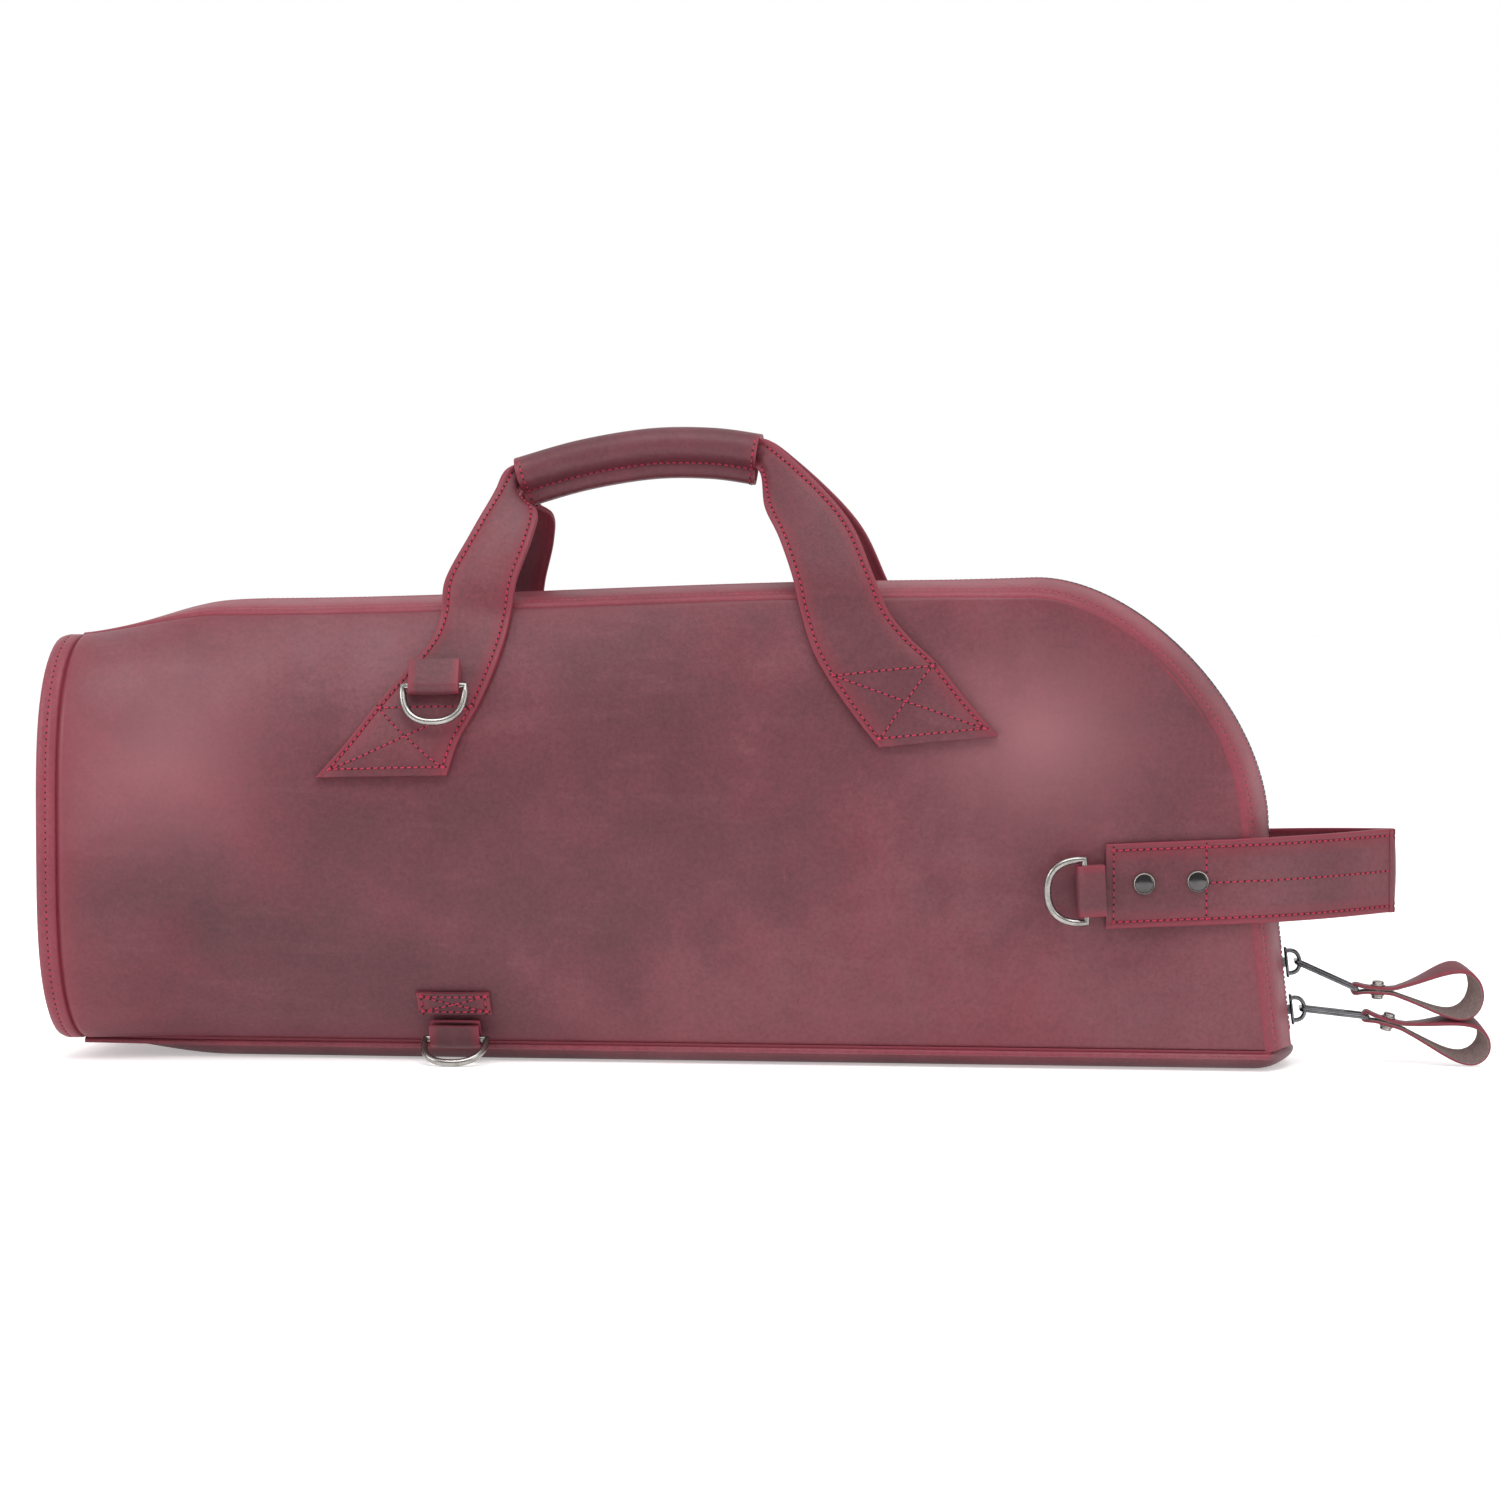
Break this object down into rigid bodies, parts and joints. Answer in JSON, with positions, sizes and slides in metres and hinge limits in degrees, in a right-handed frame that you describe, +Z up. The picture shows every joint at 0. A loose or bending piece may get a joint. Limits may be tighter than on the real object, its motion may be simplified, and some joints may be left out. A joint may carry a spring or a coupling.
{
  "type": "padded instrument gig bag",
  "caption": "Tapering padded leather case for a trumpet, with a round-cornered narrow end, a long zip, twin-strap top handle, end hanging loop and rings for a shoulder strap.",
  "frame": {"origin": "middle of the flat underside that the bag rests on", "axes": "+X towards the narrow end, -Y to the front with the rings, +Z up"},
  "size_m": [0.6543, 0.1586, 0.2915],
  "materials": {
    "body_leather": "waxed pull-up leather, wine red, satin",
    "trim_leather": "the same leather, redder at its cut edges, satin",
    "lining_cloth": "plain dark woven lining",
    "foam": "closed-cell foam",
    "board": "pressed fibre board",
    "zip_tape": "woven tape",
    "zip_metal": "dark metal teeth",
    "gunmetal": "gunmetal plating, polished",
    "nickel": "polished nickel plating"
  },
  "bodies": {
    "root": {"back_panel": "body_leather", "back_padding": "foam", "back_lining": "lining_cloth", "back_zip_placket": "trim_leather", "back_zip_tape": "zip_tape", "back_zip_teeth": "zip_metal", "back_handle_left_leg": "trim_leather", "back_handle_right_leg": "trim_leather", "bottom_panel": "body_leather", "bottom_board": "board", "bottom_lining": "lining_cloth", "end_cap": "body_leather", "end_cap_board": "board", "end_cap_padding": "foam", "end_cap_lining": "lining_cloth", "end_cap_binding": "trim_leather", "handle_grip_wrap": "trim_leather", "handle_core": "foam", "end_loop_back": "trim_leather", "slider_lower": "gunmetal"},
    "front_side": {"front_panel": "body_leather", "front_padding": "foam", "front_lining": "lining_cloth", "front_zip_placket": "trim_leather", "front_zip_tape": "zip_tape", "front_zip_teeth": "zip_metal", "front_handle_left_leg": "trim_leather", "front_handle_right_leg": "trim_leather", "d_ring_tab_upper": "trim_leather", "d_ring_tab_end": "trim_leather", "d_ring_tab_lower": "trim_leather", "d_ring_patch": "trim_leather", "end_loop_front": "trim_leather", "loop_stud_outer": "nickel", "loop_stud_inner": "nickel"},
    "upper_ring": {"d_ring_upper": "nickel"},
    "end_ring": {"d_ring_end": "nickel"},
    "lower_ring": {"d_ring_lower": "nickel"},
    "upper_slider": {"slider_upper": "gunmetal"},
    "upper_link": {"pull_link_upper": "gunmetal"},
    "upper_pull": {"pull_upper": "trim_leather", "pull_upper_rivet": "nickel"},
    "lower_pull": {"pull_link_lower": "gunmetal", "pull_lower": "trim_leather", "pull_lower_rivet": "nickel"}
  },
  "joints": [
    {"name": "front_opening", "type": "hinge", "parent": "root", "child": "front_side", "pos_m": [0, -0.035, 0.008], "axis": [1, 0, 0], "range_deg": [0, 12], "deforming": ["front_handle_left_leg", "front_handle_right_leg", "end_loop_front", "front_zip_tape", "front_zip_teeth"]},
    {"name": "upper_ring_swing", "type": "hinge", "parent": "front_side", "child": "upper_ring", "pos_m": [-0.09812, -0.0631, 0.17242], "axis": [0.9985, 0.053, 0.0145], "range_deg": [-120, 0]},
    {"name": "end_ring_swing", "type": "hinge", "parent": "front_side", "child": "end_ring", "pos_m": [0.19338, -0.04686, 0.08134], "axis": [-0.0392, -0.0231, 0.999], "range_deg": [0, 120]},
    {"name": "lower_ring_swing", "type": "hinge", "parent": "front_side", "child": "lower_ring", "pos_m": [-0.09244, -0.04349, 0.01114], "axis": [1, 0, 0], "range_deg": [-60, 0]},
    {"name": "upper_slider_travel", "type": "slide", "parent": "root", "child": "upper_slider", "axis": [0.1093, 0, -0.994], "range_m": [-0.02, 0], "deforming": ["back_zip_teeth", "back_zip_tape", "front_zip_teeth", "front_zip_tape"]},
    {"name": "upper_link_swing", "type": "hinge", "parent": "upper_slider", "child": "upper_link", "pos_m": [0.28793, 0, 0.04676], "axis": [0, -1, 0], "range_deg": [0, 12]},
    {"name": "upper_pull_swing", "type": "hinge", "parent": "upper_link", "child": "upper_pull", "pos_m": [0.31534, 0, 0.03456], "axis": [0, -1, 0], "range_deg": [0, 25]},
    {"name": "lower_pull_sweep", "type": "hinge", "parent": "root", "child": "lower_pull", "pos_m": [0.2903, 0, 0.02526], "axis": [0, 0, 1], "range_deg": [0, 20]}
  ]
}
